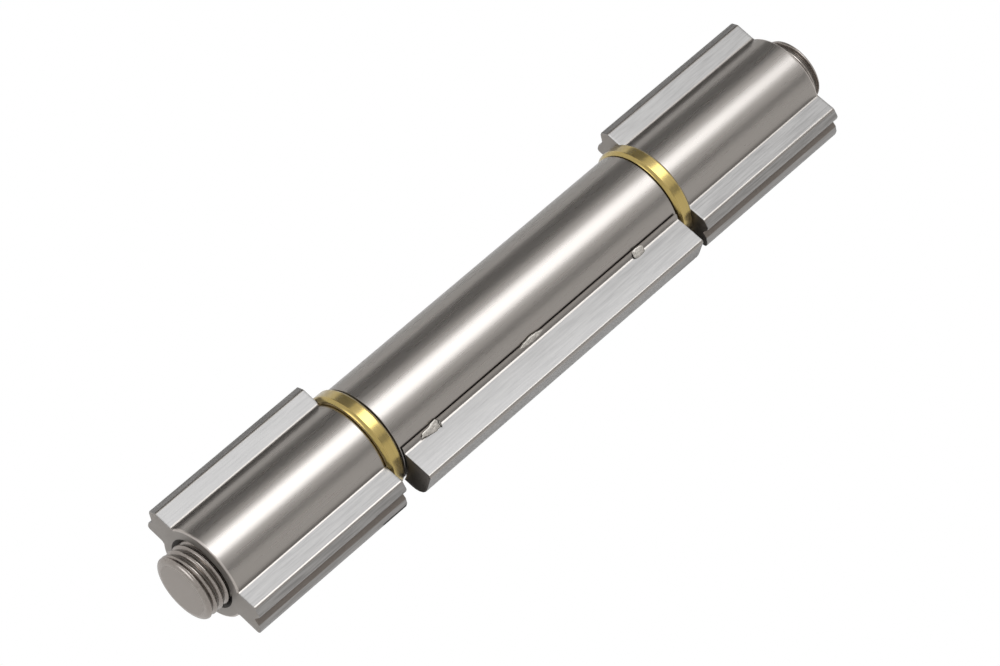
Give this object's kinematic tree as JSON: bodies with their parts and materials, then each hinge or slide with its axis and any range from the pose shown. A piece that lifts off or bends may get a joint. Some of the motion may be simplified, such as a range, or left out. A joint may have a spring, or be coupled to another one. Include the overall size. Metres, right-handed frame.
{
  "type": "three-leaf hinge",
  "caption": "Weld-on door hinge: winged outer knuckles, centre knuckle with a welded leaf, brass rings and a through pin with threaded ends.",
  "frame": {"origin": "on the pin axis, in the end face of the lower knuckle", "axes": "+Z along the pin axis towards the upper knuckle, -Y out of the flat front faces of the wings, +X towards the welded leaf at rest"},
  "size_m": [0.0303, 0.0226, 0.1688],
  "materials": {
    "drawn_steel": "satin, brushed lengthwise",
    "ground_steel": "satin, ground",
    "weld_metal": "rough",
    "pin_steel": "dull plated",
    "brass": "polished"
  },
  "bodies": {
    "frame_side": {"lower_knuckle": "drawn_steel", "lower_brass_ring": "brass", "upper_brass_ring": "brass", "upper_knuckle": "drawn_steel", "threaded_pin": "pin_steel"},
    "door_side": {"centre_knuckle": "ground_steel", "welded_leaf": "drawn_steel", "leaf_tack_welds": "weld_metal"}
  },
  "joints": [
    {"name": "leaf_swing", "type": "hinge", "parent": "frame_side", "child": "door_side", "pos_m": [0, 0, 0.08], "axis": [0, 0, 1], "continuous": true}
  ]
}
